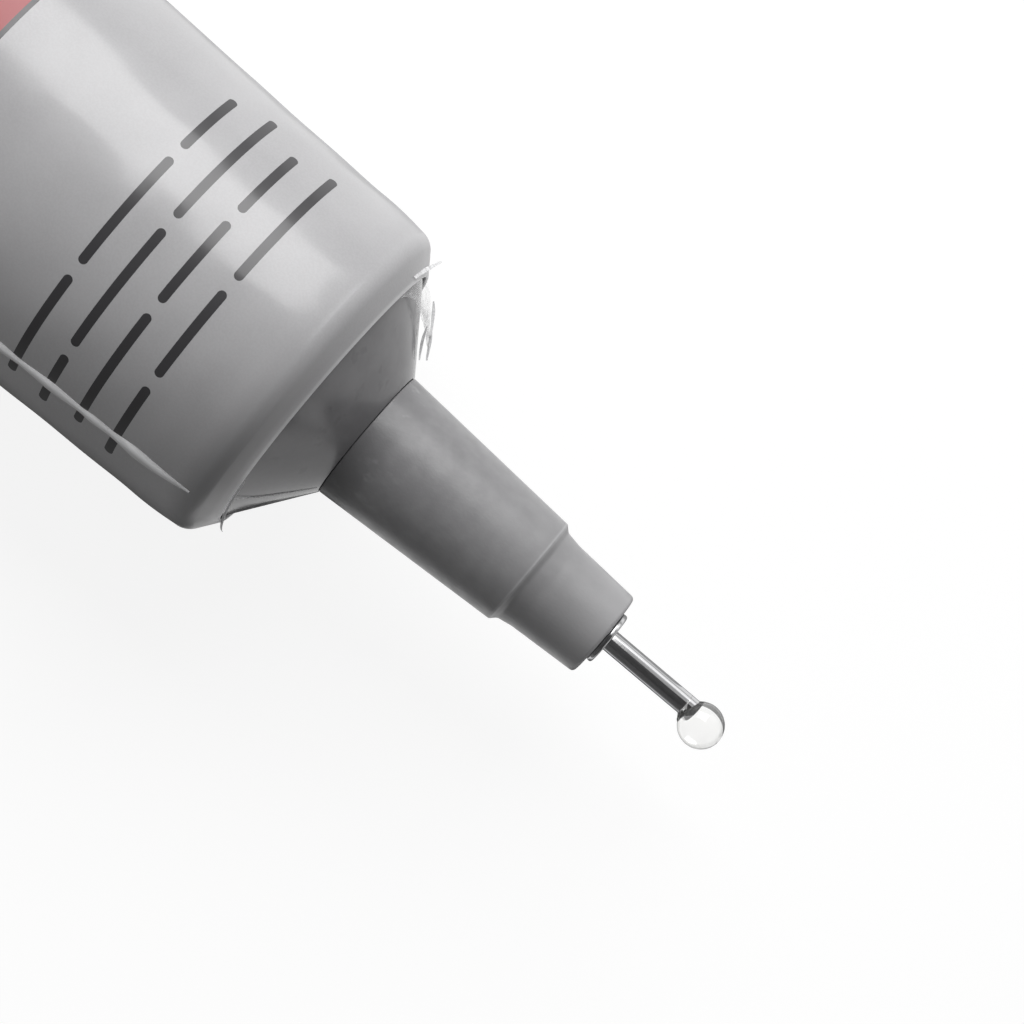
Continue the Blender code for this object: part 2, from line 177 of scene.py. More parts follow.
# Points along each strand: height, angle, distance from the axis and width, in mm and degrees
STRANDS = (
    ((1.30, 62, 12.00, 0.26), (1.36, 74, 12.08, 0.36),
     (1.46, 84, 12.45, 0.26), (1.56, 92, 13.00, 0.14)),
    ((1.66, -42, 11.58, 0.10), (1.72, -58, 11.60, 0.16),
     (1.84, -74, 11.68, 0.22), (2.05, -90, 12.00, 0.12)),
    ((3.00, 90, 10.42, 0.12), (3.45, 90, 9.86, 0.26),
     (4.00, 89, 9.08, 0.20), (4.45, 88, 8.36, 0.14)),
    ((4.10, 90, 8.90, 0.12), (4.60, 90, 8.14, 0.24),
     (5.00, 90, 7.45, 0.20), (5.35, 89, 6.85, 0.12)),
    ((3.85, 84, 8.75, 0.10), (4.20, 85, 7.85, 0.22),
     (4.60, 86, 7.10, 0.18), (4.95, 86, 6.55, 0.10)),
    ((1.42, -57, 11.30, 0.10), (2.72, -62, 9.32, 0.13),
     (4.06, -64, 7.42, 0.11), (5.33, -66, 5.60, 0.09)),
)
# The film's long fold on the sleeve's -Y side: heights in mm, and shares of FOLD_WIDTH
FOLD = (
    (-66.0, 0.06), (-58.0, 0.26), (-51.0, 0.12), (-44.0, 0.40), (-38.0, 0.16), (-32.5, 0.50),
    (-28.0, 0.20), (-24.0, 0.46), (-21.3, 0.30), (-18.3, 0.60), (-15.6, 0.34), (-12.9, 0.52),
    (-10.3, 0.34), (-9.2, 0.46), (-7.4, 0.38), (-5.4, 0.60), (-3.6, 0.48), (-2.0, 0.28), (-0.8, 0.10),
)
FOLD_WIDTH = 1.7 * MM
FOLD_THICKNESS = 0.76 * MM
FOLD_END_ANGLE = math.radians(-51.8)
FOLD_LEAN = math.radians(0.13) / MM  # per length

# Marks on the sleeve, at places and sizes in mm along and round its skin
BAR_THICKNESS = 0.72
# Each row's height, and where its bars start and end round the sleeve
BAR_ROWS = (
    (-16.0, ((-14.4, -4.8), (-3.0, 5.6), (7.4, 13.4))),
    (-13.05, ((-15.0, -9.9), (-8.1, 1.5), (3.3, 14.8))),
    (-10.1, ((-14.2, -3.4), (-1.6, 4.8), (6.6, 13.0))),
    (-7.15, ((-15.0, -7.6), (-5.8, 1.0), (2.8, 14.2))),
)
BAND_START = -33.4
BAND_END = -30.4
BAND_EDGE = 0.4
CORNER_SHADE_START = (-2.4, 0.0)  # where the turned corner's painted shade starts, and where it is full
CORNER_SHADE_END = (1.4, 0.9)  # where it has faded again, and where it is still full
CORNER_SHADE_SIDES = (-14.0, 12.0)  # from the side where the painted shade is strongest to where there is none
LIP_HIGHLIGHT = (1.28, 1.5)  # where the painted highlight along the lip starts, and where it is full
CUT_MARK = 10.0  # stands for the height on the cut edge and inside
COAT_FADE = (0.0, 2.0)  # where the film's gloss starts to fade, and where it has
COAT_TATTERS = 6.0  # how far noise moves that

# Colours, as linear red, green and blue
INK = (0.060, 0.058, 0.062)
RED_INK = (0.36, 0.030, 0.036)
SILVER = (0.475, 0.470, 0.480)
PALE_SILVER = (0.515, 0.510, 0.520)
SILVER_FLAKES = (0.59, 0.59, 0.60)
SHADED_SILVER = (0.31, 0.307, 0.314)
CUT_EDGE_AND_HIGHLIGHT = (0.84, 0.84, 0.85)
SHOULDER_GREY = (0.178, 0.175, 0.181)
SHOULDER_PALE = (0.210, 0.207, 0.213)
SHOULDER_SPECKS = (0.110, 0.108, 0.112)
NOZZLE_GREY = (0.255, 0.252, 0.259)
NOZZLE_PALE = (0.295, 0.292, 0.299)
NOZZLE_FRONT = (0.43, 0.427, 0.435)
NOZZLE_SHADE = (0.13, 0.129, 0.133)
NOZZLE_BLOTCH = (0.52, 0.52, 0.53)
NOZZLE_STEP_PALE = (0.54, 0.54, 0.55)
NEEDLE_STEEL = (0.70, 0.70, 0.71)
COLLAR_STEEL = (0.66, 0.66, 0.67)
STEEL_DULLING = 0.82
FOIL_DULL = (0.72, 0.72, 0.73)
FOIL_BRIGHT = (0.84, 0.84, 0.85)
GLUE = (0.99, 0.988, 0.975)
GLUE_IOR = 1.46
DROP_MIDDLE = (1.0, 1.0, 0.99)
DROP_PAINTED_RIM = (0.72, 0.72, 0.71)
FILM_HAZE = (0.80, 0.80, 0.81)
FILM_EDGE_HAZE = (0.86, 0.86, 0.87)
FLOOR_WHITE = (0.8, 0.8, 0.8)

# Marks in the finishes
NOISE_SPREAD = (0.3, 0.7)  # the values between which most of the noise lies
# How far marks are stretched along X, Y and Z
EVEN = (1, 1, 1)
DRAWN = (30, 1, 1)
CREASED = (9, 1, 1)
WRINKLED = (1.8, 1, 1)
SMEARED = (1.5, 1, 1)

# Studio
FLOOR_RADIUS = 6.0
WHITE_RADIUS = 0.10  # the floor's painted pool of light is white to here, and pale from PALE_RADIUS on
PALE_RADIUS = 0.32
PALE = 0.52
BACKDROP = 0.475  # beyond the floor, as pale as the floor looks there
FLOOR_GLOW = 0.87
FLOOR_SHADE = 0.19  # the share of the floor's light that the object's shadow takes away
ROOM = 0.155
CARD_LIFT = 0.0005
CARD_REACH = 1.5
WALL_AWAY = 0.9
WALL_HEIGHT = 1.1
WALL_OVERHANG = 0.44
NEEDLE_CARD_LIFT = 0.008
NOZZLE_CARD_LIFT = 0.013
FAR_EDGE = (-WALL_AWAY, CARD_LIFT)
WALL_TOP = (-WALL_AWAY, WALL_HEIGHT)
# The cards are painted reflections of shade: in mirrors the dark card shows shade on the floor at -Y
# and a dark room, the grey and pale cards dimmer patches, and in glass the glass card shows a darker
# floor
# Cards that show only in mirrors or only in glass: name, grey, which of the two kinds of ray doesn't
# see the card, and each strip's left and right from the corner, with the (Y, Z) of its two long edges
CARDS = (
    ("dark_card", 0.25, "transmission", (
        (-CARD_REACH, -0.002, (-0.015, CARD_LIFT), FAR_EDGE),
        (-0.002, 0.007, (-0.0175, CARD_LIFT), FAR_EDGE),
        (0.007, 0.080, (-0.030, CARD_LIFT), FAR_EDGE),
        (0.080, CARD_REACH, (-0.018, CARD_LIFT), FAR_EDGE),
        (0.0282, 0.0437, (-0.0010, NEEDLE_CARD_LIFT), (-0.0095, NEEDLE_CARD_LIFT)),
        (-CARD_REACH, CARD_REACH, FAR_EDGE, WALL_TOP),
        (-CARD_REACH, CARD_REACH, WALL_TOP, (WALL_OVERHANG, WALL_HEIGHT)),
    )),
    ("grey_card", 0.30, "transmission", (
        (0.0247, 0.0757, (0.0015, CARD_LIFT), (0.0095, CARD_LIFT)),
        (-0.002, 0.007, (-0.0055, CARD_LIFT), (-0.0145, CARD_LIFT)),
    )),
    ("pale_card", 0.55, "transmission", (
        (-CARD_REACH, -0.0015, (0.0142, CARD_LIFT), (0.0215, CARD_LIFT)),
        (0.0272, 0.0347, (0.0014, NOZZLE_CARD_LIFT), (0.0048, NOZZLE_CARD_LIFT)),
    )),
    ("glass_card", 0.34, "glossy", (
        (-CARD_REACH, CARD_REACH, (-0.009, CARD_LIFT), FAR_EDGE),
    )),
)
SOFTBOX_SIZE = (0.60, 0.46)
SOFTBOX_POWER = 4.2
SOFTBOX_AWAY = 0.60
SOFTBOX_LEAN = math.radians(47)
SOFTBOX_X = -0.222
STRIP_SIZE = (0.40, 0.28)
STRIP_POWER = 0.31
STRIP_PLACE = (0.28, 0.50, 0.22)
STRIP_LEAN = math.radians(90)
VIEW_AHEAD = 17.05 * MM
VIEW_ASIDE = 2.5 * MM
VIEW_HEIGHT = 204.2 * MM
VIEW_TURN = math.radians(40.2)
LENS = 100.0
SENSOR = 36.0
LENS_NEAR = 0.01

# Facets
ROUND = 224
SMALL_ROUND = 96
STRAND_ROUND = 10
FLOOR_ROUND = 128
SEAL_STEPS = 60
BACK_STEPS = 90
FRONT_STEPS = 120
FRONT_START = -45.0 * MM  # from where the sleeve's rings lie closer
CORNER_STEPS = 20
INNER_CORNER_STEPS = 10
LIP_STEPS = 8
INSIDE_STEPS = 40
INSIDE_TAIL = 3.0 * MM  # from the seal to where the sleeve's inside starts
GLUE_STEPS = 60
DROP_STEPS = 72
MENISCUS_STEPS = 24
STRAND_STEPS = 40
FOLD_STEPS = 260
FILM_STEPS = 14
THREAD_STEPS = 56  # in a turn
ARC_STEPS = 6
SMALL_ARC_STEPS = 3
SHARP_ANGLE = math.radians(40)
MERGE = 1e-7

# Places in the frame
sleeve_low, sleeve_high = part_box("tube_sleeve")
head_low, head_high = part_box("shoulder_head")
foil_low, foil_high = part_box("foil_seal")
nozzle_low, nozzle_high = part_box("nozzle_body")
needle_low, needle_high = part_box("needle_tube")
collar_low, collar_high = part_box("needle_collar")
drop_low, drop_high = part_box("glue_drop")

axis_z = sleeve_high.z / 2
corner_x = sleeve_low.x + SLEEVE_LENGTH + SEAL_LENGTH
tube_radius = axis_z
corner_radius = tube_radius - DRAW_IN
corner_tangent = CORNER_FILLET * math.tan(CONE_ANGLE / 2)
round_end = corner_tangent + DRAW_IN_LENGTH
tail_end = -(SLEEVE_LENGTH + SEAL_LENGTH)
sealed = 1 - SLEEVE_WALL / tube_radius
lip_start = corner_radius - CORNER_FILLET * (1 - math.cos(CONE_ANGLE))
lip_radius = lip_start - LIP_LENGTH * math.sin(CONE_ANGLE)
head_inset = SLEEVE_WALL + FIT_GAP
inner_inset = head_inset + SHOULDER_WALL
skirt_end = head_low.x - corner_x
neck_top = head_high.x - corner_x
neck_radius = (foil_high.y - foil_low.y) / 2
neck_bore_radius = NECK_BORE / 2
nozzle_base = nozzle_low.x - corner_x
nozzle_end = nozzle_high.x - corner_x
nozzle_step = nozzle_end - NOZZLE_FRONT_LENGTH
nozzle_base_radius = (nozzle_high.y - nozzle_low.y) / 2
seat_height = nozzle_base - FIT_GAP
seat_radius = nozzle_base_radius + FIT_GAP
crest_radius = neck_radius + THREAD_HEIGHT
thread_turns = (neck_top - seat_height - THREAD_FOOT - THREAD_LEAD) / THREAD_PITCH
nozzle_ledge = foil_high.x - corner_x + FIT_GAP
stop_base = nozzle_ledge + NOZZLE_CAVITY_LENGTH
stop_top = stop_base + NEEDLE_STOP
needle_start = needle_low.x - corner_x
needle_tip = needle_high.x - corner_x
needle_radius = (needle_high.y - needle_low.y) / 2
needle_bore_radius = needle_radius - NEEDLE_WALL
needle_hole_radius = needle_radius + FIT_GAP
hub_radius = needle_hole_radius + HUB_WALL
hub_seat = nozzle_end - HUB_LENGTH
flange_radius = (collar_high.y - collar_low.y) / 2
collar_end = collar_high.x - corner_x
drop_radius = (drop_high.y - drop_low.y) / 2
drop_centre = drop_high.x - corner_x - drop_radius
drop_aside = (drop_high.y + drop_low.y) / 2

# Directions on the cone, as (radius, height): square to it, and along it to the nozzle
cone_out = np.array((math.cos(CONE_ANGLE), math.sin(CONE_ANGLE)))
cone_ahead = np.array((-math.sin(CONE_ANGLE), math.cos(CONE_ANGLE)))


def at(height, angle, radius):
    """World points at heights along the axis, angles from straight up and distances from the axis."""
    height, angle, radius = np.broadcast_arrays(height, angle, radius)
    aside = radius * np.sin(angle)
    up = radius * np.cos(angle)
    return np.stack([corner_x + height, aside, axis_z + up], axis=-1)


def turn(steps):
    """Even angles once round the axis, from straight down."""
    return np.linspace(-math.pi, math.pi, steps, endpoint=False)


def cone_height(radius, inset):
    """Height of the shoulder's cone at a radius, this far inside the sleeve's skin."""
    return ((corner_radius - radius) * math.cos(CONE_ANGLE) - inset) / math.sin(CONE_ANGLE)


def cone_radius(height, inset):
    """Radius of the shoulder's cone at a height, this far inside the sleeve's skin."""
    return corner_radius - (height * math.sin(CONE_ANGLE) + inset) / math.cos(CONE_ANGLE)


def rounded(corners, steps=ARC_STEPS):
    """(radius, height) points of a closed outline through (radius, height, fillet) corners."""
    points = []
    for k, (radius, height, fillet) in enumerate(corners):
        here = np.array((radius, height))
        if fillet == 0:
            points.append(here)
            continue
        back = np.array(corners[k - 1][:2]) - here
        ahead = np.array(corners[(k + 1) % len(corners)][:2]) - here
        back /= np.linalg.norm(back)
        ahead /= np.linalg.norm(ahead)
        half = math.acos(back @ ahead) / 2
        middle = back + ahead
        centre = here + middle / np.linalg.norm(middle) * fillet / math.sin(half)
        first = here + back * fillet / math.tan(half) - centre
        last = here + ahead * fillet / math.tan(half) - centre
        start = math.atan2(first[1], first[0])
        sweep = math.atan2(last[1], last[0]) - start
        sweep = (sweep + math.pi) % (2 * math.pi) - math.pi
        angles = start + sweep * np.linspace(0, 1, steps + 1)
        points += [centre + fillet * np.array((math.cos(a), math.sin(a))) for a in angles]
    return np.array(points)


def ring_mesh(name, rings, loop=False, caps=False, uv=None):
    """A mesh through closed rings of points. loop joins the last ring to the first, caps close both."""
    count, around = rings.shape[:2]
    grid = np.arange(count * around).reshape(count, around)
    if loop:
        grid = np.vstack([grid, grid[:1]])
    beside = np.roll(grid, -1, axis=1)
    quads = np.stack([grid[:-1], beside[:-1], beside[1:], grid[1:]], axis=-1).reshape(-1, 4)
    faces = quads.tolist()
    if caps:
        faces += [grid[0, ::-1].tolist(), grid[-1].tolist()]
    mesh = bpy.data.meshes.new(name)
    mesh.from_pydata(rings.reshape(-1, 3).tolist(), [], faces)
    if uv is not None:
        across, along = uv
        left, low = np.meshgrid(across[:-1], along[:-1])
        right, high = np.meshgrid(across[1:], along[1:])
        corners = np.stack([left, low, right, low, right, high, left, high], axis=-1).ravel()
        layer = mesh.uv_layers.new(name="skin")
        spare = np.zeros(2 * len(mesh.loops) - len(corners))
        layer.uv.foreach_set("vector", np.concatenate([corners, spare]).astype(np.float32))
    form = bmesh.new()
    form.from_mesh(mesh)
    bmesh.ops.remove_doubles(form, verts=form.verts, dist=MERGE)
    bmesh.ops.recalc_face_normals(form, faces=form.faces)
    form.to_mesh(mesh)
    form.free()
    return mesh


def turned_mesh(name, outline, steps):
    """A turned solid from a closed (radius, height) outline."""
    rings = at(outline[:, 1:2], turn(steps), outline[:, 0:1])
    return ring_mesh(name, rings, loop=True)


def eased(rows, steps):
    """Rows of numbers between given ones, on a smooth spline through them."""
    rows = np.asarray(rows, dtype=float)
    rows = np.vstack([2 * rows[0] - rows[1], rows, 2 * rows[-1] - rows[-2]])
    place = np.linspace(0, len(rows) - 3, steps)
    first = np.minimum(place.astype(int), len(rows) - 4)
    share = (place - first)[:, None]
    a, b, c, d = (rows[first + k] for k in range(4))
    return b + share / 2 * (c - a + share * (2 * a - 5 * b + 4 * c - d + share * (3 * (b - c) + d - a)))


def strand_mesh(name, path, out, width, thickness):
    """A flat strand along a path, tapering to its ends, with its thickness along out."""
    ahead = np.gradient(path, axis=0)
    side = np.cross(out, ahead)
    side /= np.linalg.norm(side, axis=1, keepdims=True)
    around = turn(STRAND_ROUND)[None, :, None]
    slim = np.clip(width / width.max(), STRAND_SLIMMEST, 1)[:, None, None]
    rings = path[:, None] + side[:, None] * width[:, None, None] / 2 * np.cos(around)
    rings = rings + out[:, None] * thickness / 2 * slim * np.sin(around)
    return ring_mesh(name, rings, caps=True)


def thread_mesh(name, gap, start, turns, fade):
    """The right-hand thread's ridge, this much larger all round, from a height on the neck."""
    foot = neck_radius - THREAD_SINK
    root = THREAD_ROOT_SHARE * THREAD_PITCH / 2 + gap
    crest = THREAD_CREST_SHARE * THREAD_PITCH / 2 + gap
    top = crest_radius + gap
    steps = round(THREAD_STEPS * turns)
    rings = []
    for turned in np.linspace(0, turns, steps + 1):
        rise = min(1, turned / fade, (turns - turned) / fade) if fade else 1
        peak = foot + (top - foot) * max(rise, THREAD_LEAST_RISE)
        section = np.array([(foot, -root), (foot, root), (peak, crest), (peak, -crest)])
        angle = math.pi - 2 * math.pi * turned
        rings.append(at(start + turned * THREAD_PITCH + section[:, 1], angle, section[:, 0]))
    return ring_mesh(name, np.array(rings), caps=True)


def combined(mesh, other, operation):
    """The mesh with another joined to it or cut out of it."""
    pieces = [bpy.data.objects.new(m.name, m) for m in (mesh, other)]
    for piece in pieces:
        bpy.context.scene.collection.objects.link(piece)
    step = pieces[0].modifiers.new("combine", "BOOLEAN")
    step.operation = operation
    step.object = pieces[1]
    step.solver = "EXACT"
    bpy.context.view_layer.update()
    depsgraph = bpy.context.evaluated_depsgraph_get()
    result = bpy.data.meshes.new_from_object(pieces[0].evaluated_get(depsgraph))
    for piece in pieces:
        bpy.data.objects.remove(piece)
    return result


def add_piece(name, mesh, finish, body, slot, *nodes):
    """A shown piece that rides on a body and stands for these nodes."""
    piece = bpy.data.objects.new(name, mesh)
    bpy.context.scene.collection.objects.link(piece)
    mesh.materials.clear()
    mesh.materials.append(finish)
    mesh.shade_smooth()
    mesh.set_sharp_from_angle(angle=SHARP_ANGLE)
    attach(piece, body)
    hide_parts(*nodes)


class Nodes:
    """A node tree, with short calls for what is built in it."""

    def __init__(self, tree):
        self.tree = tree

    def node(self, kind, **settings):
        made = self.tree.nodes.new("ShaderNode" + kind)
        for key, value in settings.items():
            setattr(made, key, value)
        return made

    def feed(self, socket, value):
        """Links a socket's value, or sets it to a colour or a number."""
        if isinstance(value, bpy.types.NodeSocket):
            self.tree.links.new(value, socket)
        elif isinstance(value, tuple):
            socket.default_value = (*value, 1)
        else:
            socket.default_value = value

    def math(self, operation, first, second=0.0):
        made = self.node("Math", operation=operation)
        self.feed(made.inputs[0], first)
        self.feed(made.inputs[1], second)
        return made.outputs[0]

    def times(self, first, second):
        return self.math("MULTIPLY", first, second)

    def background(self, lighting, shown):
        """A lighting shader, and one that shows straight on, in a mirror or through glass."""
        path = self.node("LightPath").outputs
        mirrored = self.math("MAXIMUM", path["Is Camera Ray"], path["Is Glossy Ray"])
        made = self.node("MixShader")
        self.feed(made.inputs[0], self.math("MAXIMUM", mirrored, path["Is Transmission Ray"]))
        self.feed(made.inputs[1], lighting)
        self.feed(made.inputs[2], shown)
        return made.outputs[0]


class Finish(Nodes):
    """A Principled material, with short calls for the nodes that give it detail."""

    def __init__(self, name, **values):
        self.material = bpy.data.materials.new(name)
        self.material.use_nodes = True
        super().__init__(self.material.node_tree)
        self.shader = self.tree.nodes["Principled BSDF"]
        for socket, value in values.items():
            self.set(socket.replace("_", " "), value)

    def set(self, name, value):
        self.feed(self.shader.inputs[name], value)

    def between(self, value, low, high):
        """1 where the value lies between two limits, and otherwise 0."""
        return self.times(self.math("GREATER_THAN", value, low), self.math("LESS_THAN", value, high))

    def ramp(self, value, low, high, to_low=0.0, to_high=1.0):
        """A smooth step from one number, where the value is low, to another."""
        made = self.node("MapRange", interpolation_type="SMOOTHSTEP")
        for key, number in enumerate((value, low, high, to_low, to_high)):
            self.feed(made.inputs[key], number)
        return made.outputs[0]

    def mix(self, share, first, second):
        made = self.node("Mix", data_type="RGBA")
        self.feed(made.inputs["Factor"], share)
        self.feed(made.inputs[6], first)
        self.feed(made.inputs[7], second)
        return made.outputs[2]

    def noise(self, size, detail, stretch=EVEN):
        """Soft noise with features of this size in metres, stretched along the axes."""
        scaled = self.node("Mapping")
        scaled.inputs["Scale"].default_value = [1 / (size * s) for s in stretch]
        self.feed(scaled.inputs["Vector"], self.node("TexCoord").outputs["Object"])
        made = self.node("TexNoise")
        made.inputs["Scale"].default_value = 1.0
        made.inputs["Detail"].default_value = detail
        self.feed(made.inputs["Vector"], scaled.outputs[0])
        return made.outputs["Fac"]

    def mottled(self, size, detail, low=0.0, high=1.0, stretch=EVEN):
        """Noise that goes from low to high."""
        return self.ramp(self.noise(size, detail, stretch), *NOISE_SPREAD, low, high)

    def parts(self, vector):
        made = self.node("SeparateXYZ")
        self.feed(made.inputs[0], vector)
        return made.outputs

    def skin(self):
        """Where a point lies round its piece, and along it."""
        place = self.parts(self.node("UVMap", uv_map="skin").outputs[0])
        return place[0], place[1]

    def place(self):
        """Height along the tube's axis, and Y, in metres."""
        place = self.parts(self.node("TexCoord").outputs["Object"])
        return self.math("SUBTRACT", place[0], corner_x), place[1]

    def relief(self, height, depth):
        made = self.node("Bump")
        made.inputs["Distance"].default_value = depth
        made.inputs["Strength"].default_value = 1.0
        self.feed(made.inputs["Height"], height)
        return made.outputs[0]

    def bump(self, height, depth):
        self.set("Normal", self.relief(height, depth))


def printed(finish, across, along):
    """1 on the sleeve's printed bars, which have round ends, and otherwise 0."""
    ink = None
    for row, bars in BAR_ROWS:
        beyond = None
        for start, end in bars:
            off_middle = finish.math("ABSOLUTE", finish.math("SUBTRACT", across, (start + end) / 2))
            past_end = finish.math("SUBTRACT", off_middle, (end - start) / 2)
            beyond = past_end if beyond is None else finish.math("MINIMUM", beyond, past_end)
        aside = finish.math("POWER", finish.math("MAXIMUM", beyond, 0.0), 2.0)
        off_row = finish.math("POWER", finish.math("SUBTRACT", along, row), 2.0)
        inked = finish.math("LESS_THAN", finish.math("ADD", aside, off_row), (BAR_THICKNESS / 2) ** 2)
        ink = inked if ink is None else finish.math("MAXIMUM", ink, inked)
    return ink


def laminate():
    """Silver laminate: soft mottling, fine flakes, plain printed bars and a band, painted shade in the
    turned corner, a painted highlight along the lip, and a pale cut edge.
    """
    finish = Finish("silver_laminate", Specular_IOR_Level=0.35, Coat_Roughness=0.17)
    across, along = finish.skin()
    silver = finish.mix(finish.mottled(7 * MM, 3), SILVER, PALE_SILVER)
    flakes = finish.ramp(finish.noise(0.16 * MM, 1), 0.35, 0.65, 0.0, 0.22)
    silver = finish.mix(flakes, silver, SILVER_FLAKES)
    # Painted shade in the turned corner, darkest on the -Y side, away from the lamps
    corner_band = finish.times(finish.ramp(along, *CORNER_SHADE_START), finish.ramp(along, *CORNER_SHADE_END))
    darker = finish.times(corner_band, finish.ramp(across, *CORNER_SHADE_SIDES, 0.95, 0.0))
    silver = finish.mix(darker, silver, SHADED_SILVER)
    # A painted highlight along the lip, in the pale colour of the real cut edge
    silver = finish.mix(finish.ramp(along, *LIP_HIGHLIGHT, 0.0, 0.75), silver, CUT_EDGE_AND_HIGHLIGHT)

    band = finish.between(along, BAND_START, BAND_END)
    red = finish.between(along, BAND_START + BAND_EDGE, BAND_END - BAND_EDGE)
    colour = finish.mix(printed(finish, across, along), silver, INK)
    colour = finish.mix(band, colour, INK)
    colour = finish.mix(red, colour, RED_INK)
    cut = finish.math("GREATER_THAN", along, CUT_MARK / 2)
    finish.set("Base Color", finish.mix(cut, colour, CUT_EDGE_AND_HIGHLIGHT))

    finish.set("Roughness", finish.mottled(3 * MM, 4, 0.32, 0.40))
    finish.bump(finish.noise(0.5 * MM, 2), 0.004 * MM)
    torn = finish.math("ADD", along, finish.times(finish.noise(3.2 * MM, 1), COAT_TATTERS))
    finish.set("Coat Weight", finish.ramp(torn, *COAT_FADE, 0.56, 0.12))
    finish.set("Coat Normal", finish.relief(finish.noise(4.5 * MM, 1, WRINKLED), 0.25 * MM))
    return finish.material


def shoulder_plastic():
    """Dark semi-gloss moulding with faint flow marks and a few specks."""
    finish = Finish("shoulder_plastic")
    grey = finish.mix(finish.mottled(2.2 * MM, 3), SHOULDER_GREY, SHOULDER_PALE)
    specks = finish.ramp(finish.noise(1.4 * MM, 2), 0.62, 0.72, 0.0, 0.3)
    finish.set("Base Color", finish.mix(specks, grey, SHOULDER_SPECKS))
    finish.set("Roughness", finish.mottled(1.1 * MM, 3, 0.12, 0.20))
    finish.bump(finish.noise(0.8 * MM, 2), 0.003 * MM)
    return finish.material


def nozzle_plastic():
    """Matt grey moulding, mottled, paler in front and on the step, with pale blotches near its base,
    and painted shade at its base, strongest on its -Y side.
    """
    finish = Finish("nozzle_plastic")
    height, aside = finish.place()
    grey = finish.mix(finish.mottled(1.3 * MM, 4), NOZZLE_GREY, NOZZLE_PALE)

    # Pale blotches near the base
    near_base = finish.ramp(height, nozzle_base + 5 * MM, nozzle_base + 1 * MM, 0.0, 0.5)
    blotches = finish.ramp(finish.noise(1.3 * MM, 3, SMEARED), 0.60, 0.74)
    grey = finish.mix(finish.times(near_base, blotches), grey, NOZZLE_BLOTCH)
    barrel = finish.ramp(height, nozzle_base + 3 * MM, nozzle_step, 0.0, 0.28)
    grey = finish.mix(barrel, grey, NOZZLE_FRONT)
    front = finish.ramp(height, nozzle_end - 6.5 * MM, nozzle_end, 0.0, 0.75)
    grey = finish.mix(front, grey, NOZZLE_FRONT)

    # Painted shade at the base, where the cone shades it, strongest on the -Y side away from the lamps
    base_shade = finish.ramp(height, nozzle_base + 4 * MM, nozzle_base)
    side = finish.ramp(aside, 4 * MM, -2 * MM, 0.25, 0.85)
    grey = finish.mix(finish.times(base_shade, side), grey, NOZZLE_SHADE)
    # Paler along the step
    off_step = finish.math("ABSOLUTE", finish.math("SUBTRACT", height, nozzle_step))
    pale_step = finish.ramp(off_step, 0.22 * MM, 0.05 * MM, 0.0, 0.45)
    finish.set("Base Color", finish.mix(pale_step, grey, NOZZLE_STEP_PALE))

    finish.set("Roughness", finish.mottled(0.9 * MM, 3, 0.31, 0.40))
    finish.bump(finish.noise(0.22 * MM, 3), 0.010 * MM)
    return finish.material


def steel(name, colour, smoothest, roughest, stretch):
    """Drawn or turned steel, with fine marks along or round it."""
    finish = Finish(name, Metallic=1.0)
    darker = tuple(STEEL_DULLING * c for c in colour)
    finish.set("Base Color", finish.mix(finish.mottled(0.12 * MM, 3, stretch=stretch), darker, colour))
    finish.set("Roughness", finish.mottled(0.3 * MM, 3, smoothest, roughest, stretch))
    finish.bump(finish.noise(0.08 * MM, 2, stretch), 0.0015 * MM)
    return finish.material


def foil():
    """Crinkled aluminium."""
    finish = Finish("barrier_foil", Metallic=1.0)
    crinkle = finish.noise(0.7 * MM, 3)
    finish.set("Base Color", finish.mix(crinkle, FOIL_DULL, FOIL_BRIGHT))
    finish.set("Roughness", finish.ramp(crinkle, *NOISE_SPREAD, 0.24, 0.4))
    finish.bump(crinkle, 0.03 * MM)
    return finish.material


def clear_glue():
    """Clear glue, with the faintest warm tint."""
    finish = Finish("clear_glue", Base_Color=GLUE, Roughness=0.0, IOR=GLUE_IOR, Transmission_Weight=1.0)
    finish.bump(finish.noise(0.9 * MM, 1), 0.01 * MM)
    return finish.material


def drop_glue():
    """The drop's clear glue, with grey painted towards its edge in front, a painted shade that stands
    for the darker surroundings seen through it.
    """
    finish = Finish("drop_glue", Roughness=0.0, IOR=GLUE_IOR, Transmission_Weight=0.96)
    # Painted shade towards the edge in front, for the darker surroundings seen through the drop
    weight = finish.node("LayerWeight")
    weight.inputs["Blend"].default_value = 0.5
    painted_rim = finish.ramp(weight.outputs["Facing"], 0.32, 0.55)
    front = finish.ramp(finish.place()[0], drop_centre - 0.8 * MM, drop_centre + 0.4 * MM)
    finish.set("Base Color", finish.mix(finish.times(painted_rim, front), DROP_MIDDLE, DROP_PAINTED_RIM))
    finish.bump(finish.noise(0.9 * MM, 1), 0.01 * MM)
    return finish.material


def clear_film():
    """Thin clear film, seen by its gloss and a haze that grows towards its torn edge."""
    finish = Finish("clear_film", Base_Color=FILM_HAZE, Roughness=0.16)
    streaks = finish.ramp(finish.noise(0.5 * MM, 2), 0.35, 0.7, 0.3, 1.0)
    haze = finish.ramp(finish.skin()[1], 0.3, 1.0, 0.06, 0.34)
    finish.set("Alpha", finish.times(haze, streaks))
    finish.bump(finish.noise(0.6 * MM, 2), 0.03 * MM)
    return finish.material


def film_edge(name, clearest, stretch):
    """The film's strands and its fold, which are hazier, with marks stretched along the axes."""
    finish = Finish(name, Base_Color=FILM_EDGE_HAZE, Roughness=0.26)
    finish.set("Alpha", finish.mottled(0.4 * MM, 2, clearest, 1.0, stretch))
    finish.bump(finish.noise(0.3 * MM, 2, stretch), 0.02 * MM)
    return finish.material


